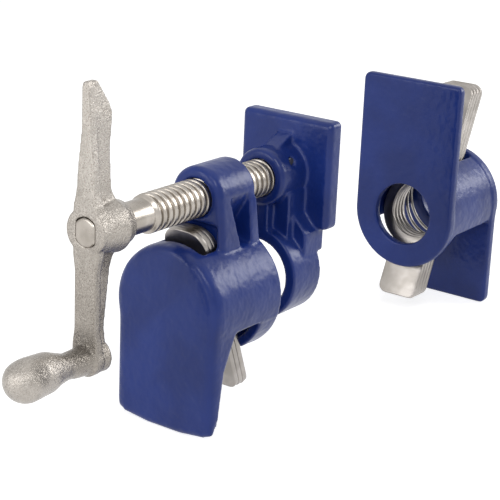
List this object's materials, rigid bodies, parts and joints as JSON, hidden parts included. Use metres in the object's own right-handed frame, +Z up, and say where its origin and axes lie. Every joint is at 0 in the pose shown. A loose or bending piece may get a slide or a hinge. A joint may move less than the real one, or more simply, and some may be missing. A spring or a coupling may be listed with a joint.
{
  "type": "pipe clamp",
  "caption": "Woodworking pipe clamp fixture: a screw head with crank and sliding jaw, and a sliding tail stop that grips the pipe with a tilting plate clutch.",
  "frame": {"origin": "on the pipe's axis, at the front face of the head's foot plate", "axes": "+X along the pipe from the head to the tail stop, +Z up from the feet to the screw, +Y to the left of +X"},
  "size_m": [0.3054, 0.05, 0.1405],
  "materials": {
    "blue_enamel": "glossy royal blue enamel on a sand casting",
    "plated_casting": "bright zinc plate on a grainy casting",
    "plated_steel": "bright zinc plate on a turned and rolled thread",
    "clutch_steel": "plated stamped steel with rounded edges",
    "spring_steel": "plain spring wire",
    "pin_steel": "plain steel pin, ends set below the surface"
  },
  "bodies": {
    "head": {"head_casting": "blue_enamel", "head_clutch_spring": "spring_steel"},
    "head_clutch": {"head_clutch_plate_1": "clutch_steel", "head_clutch_plate_2": "clutch_steel", "head_clutch_plate_3": "clutch_steel"},
    "jaw": {"jaw_casting": "blue_enamel", "jaw_retaining_pin": "pin_steel"},
    "screw": {"lead_screw": "plated_steel", "crank_handle": "plated_casting"},
    "tail": {"tail_casting": "blue_enamel", "tail_clutch_spring": "spring_steel"},
    "tail_clutch": {"tail_clutch_plate_1": "clutch_steel", "tail_clutch_plate_2": "clutch_steel", "tail_clutch_plate_3": "clutch_steel", "tail_clutch_plate_4": "clutch_steel"}
  },
  "joints": [
    {"name": "jaw_slide", "type": "slide", "parent": "head", "child": "jaw", "axis": [1, 0, 0], "range_m": [-0.0127, 0.02223]},
    {"name": "screw_turn", "type": "hinge", "parent": "jaw", "child": "screw", "pos_m": [0, 0, 0.03965], "axis": [1, 0, 0], "range_deg": [-1440, 2520]},
    {"name": "head_clutch_tilt", "type": "hinge", "parent": "head", "child": "head_clutch", "pos_m": [0.0181, 0, 0.0245], "axis": [0, 1, 0], "range_deg": [0, 18], "stiffness_Nm_per_rad": 0.6, "springref_deg": -18.91, "deforming": ["head_clutch_spring"]},
    {"name": "tail_slide", "type": "slide", "parent": "head", "child": "tail", "axis": [1, 0, 0], "range_m": [-0.066, 0.13]},
    {"name": "tail_clutch_tilt", "type": "hinge", "parent": "tail", "child": "tail_clutch", "pos_m": [0.198, 0, 0.0245], "axis": [0, 1, 0], "range_deg": [-20, 0], "stiffness_Nm_per_rad": 0.6, "springref_deg": 22.92, "deforming": ["tail_clutch_spring"]}
  ],
  "couplings": [
    {"joint": "jaw_slide", "follows": "screw_turn", "m_per_rad": 0.0005053}
  ]
}
